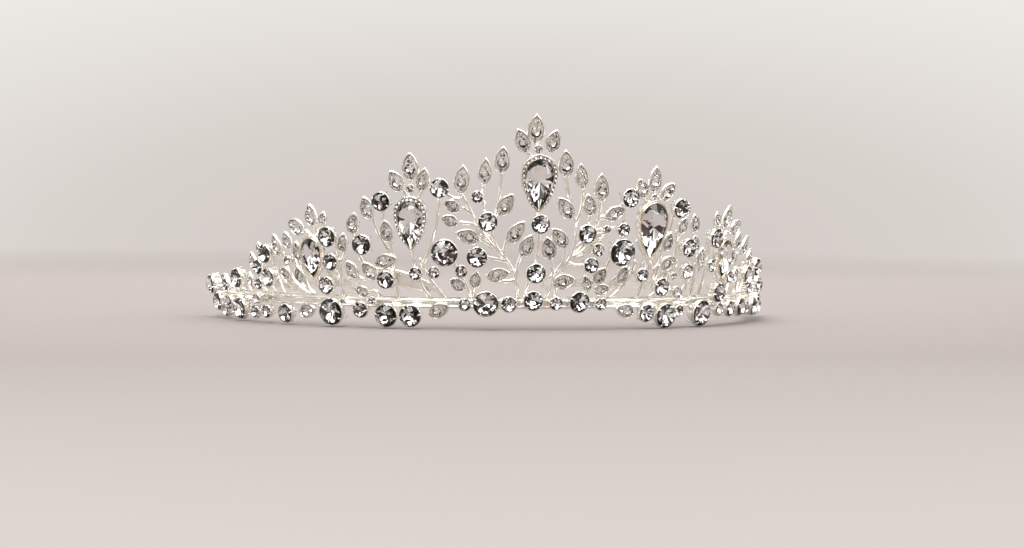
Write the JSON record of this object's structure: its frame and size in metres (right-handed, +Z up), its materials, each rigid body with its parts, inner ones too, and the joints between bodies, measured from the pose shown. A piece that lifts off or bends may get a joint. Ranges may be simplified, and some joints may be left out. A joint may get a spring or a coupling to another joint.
{
  "type": "bridal tiara",
  "caption": "Open-backed tiara: a flat band and decor wires carry a crown of cast stems, stone-set leaves, round crystals in cups and pear-cut motifs.",
  "frame": {"origin": "middle of the bounding box in plan, at the height of the lowest cups, on the surface that the tiara rests on", "axes": "+Z up, the middle motif faces -Y, +X to the wearer's left"},
  "size_m": [0.1612, 0.1534, 0.0554],
  "materials": {
    "silver_band": "silver plate, polished, a little satin from handling",
    "silver_stem": "silver plate over a cast alloy, bright, soft casting texture",
    "silver_setting": "silver plate, polished rims, matt wells",
    "round_crystal": "clear faceted crystal with a silvered back",
    "pear_crystal": "clear pear-cut crystal with a silvered back",
    "small_crystal": "small clear faceted crystal"
  },
  "bodies": {
    "root": {"base_band": "silver_band", "centre_leaf_settings": "silver_setting", "centre_leaf_stones": "small_crystal", "centre_pear_bezel": "silver_setting", "centre_pear_crystal": "pear_crystal", "centre_round_crystals": "round_crystal", "centre_stems": "silver_stem", "centre_stone_cups": "silver_setting", "left_end_leaf_settings": "silver_setting", "left_end_loop": "silver_stem", "left_end_round_crystals": "round_crystal", "left_end_stems": "silver_stem", "left_end_stone_cups": "silver_setting", "left_inner_leaf_settings": "silver_setting", "left_inner_round_crystals": "round_crystal", "left_inner_stems": "silver_stem", "left_inner_stone_cups": "silver_setting", "left_leaf_stones": "small_crystal", "left_outer_leaf_settings": "silver_setting", "left_outer_pear_bezel": "silver_setting", "left_outer_pear_crystal": "pear_crystal", "left_outer_round_crystals": "round_crystal", "left_outer_stems": "silver_stem", "left_outer_stone_cups": "silver_setting", "left_ribbed_leaves": "silver_stem", "left_side_leaf_settings": "silver_setting", "left_side_pear_bezel": "silver_setting", "left_side_pear_crystal": "pear_crystal", "left_side_round_crystals": "round_crystal", "left_side_stems": "silver_stem", "left_side_stone_cups": "silver_setting", "lower_decor_wire": "silver_stem", "pear_halo_stones": "small_crystal", "right_end_leaf_settings": "silver_setting", "right_end_loop": "silver_stem", "right_end_round_crystals": "round_crystal", "right_end_stems": "silver_stem", "right_end_stone_cups": "silver_setting", "right_inner_leaf_settings": "silver_setting", "right_inner_round_crystals": "round_crystal", "right_inner_stems": "silver_stem", "right_inner_stone_cups": "silver_setting", "right_leaf_stones": "small_crystal", "right_outer_leaf_settings": "silver_setting", "right_outer_pear_bezel": "silver_setting", "right_outer_pear_crystal": "pear_crystal", "right_outer_round_crystals": "round_crystal", "right_outer_stems": "silver_stem", "right_outer_stone_cups": "silver_setting", "right_ribbed_leaves": "silver_stem", "right_side_leaf_settings": "silver_setting", "right_side_pear_bezel": "silver_setting", "right_side_pear_crystal": "pear_crystal", "right_side_round_crystals": "round_crystal", "right_side_stems": "silver_stem", "right_side_stone_cups": "silver_setting", "upper_decor_wire": "silver_stem"}
  },
  "joints": []
}
